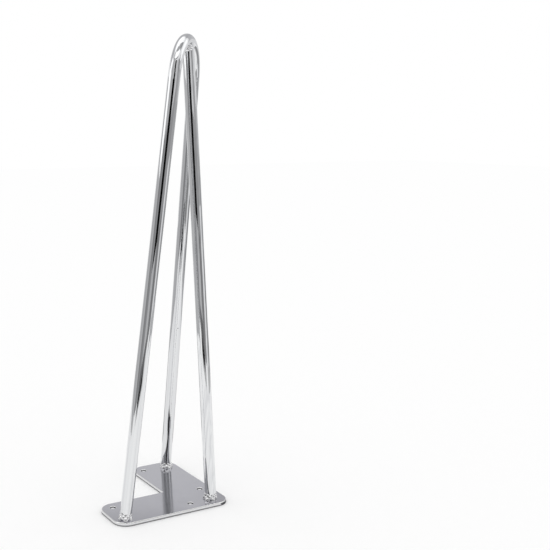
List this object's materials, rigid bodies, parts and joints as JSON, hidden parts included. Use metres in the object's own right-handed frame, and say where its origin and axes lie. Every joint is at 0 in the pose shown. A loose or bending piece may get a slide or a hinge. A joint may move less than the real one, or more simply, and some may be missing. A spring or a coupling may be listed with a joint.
{
  "type": "hairpin table leg",
  "caption": "Hairpin table leg of round chromed bar: a bent rod and a straight brace rod rise from an L-shaped screw-on mounting plate and meet in a rounded foot.",
  "frame": {"origin": "middle of the plate's square outline, on the face that goes against the table", "axes": "+X and +Y along the plate's edges, with the L's outer corner at +X -Y; +Z from the mounting face to the foot"},
  "size_m": [0.109, 0.109, 0.3999],
  "materials": {
    "plate_chrome": "chrome plated flat steel, slightly satin",
    "rod_chrome": "chrome plated drawn steel bar, bright",
    "weld_chrome": "chrome plated weld bead, bright and lumpy"
  },
  "bodies": {
    "root": {"mounting_plate": "plate_chrome", "hairpin_rod": "rod_chrome", "corner_rod": "rod_chrome", "weld_left": "weld_chrome", "weld_rear": "weld_chrome", "weld_corner": "weld_chrome", "weld_foot": "weld_chrome"}
  },
  "joints": []
}
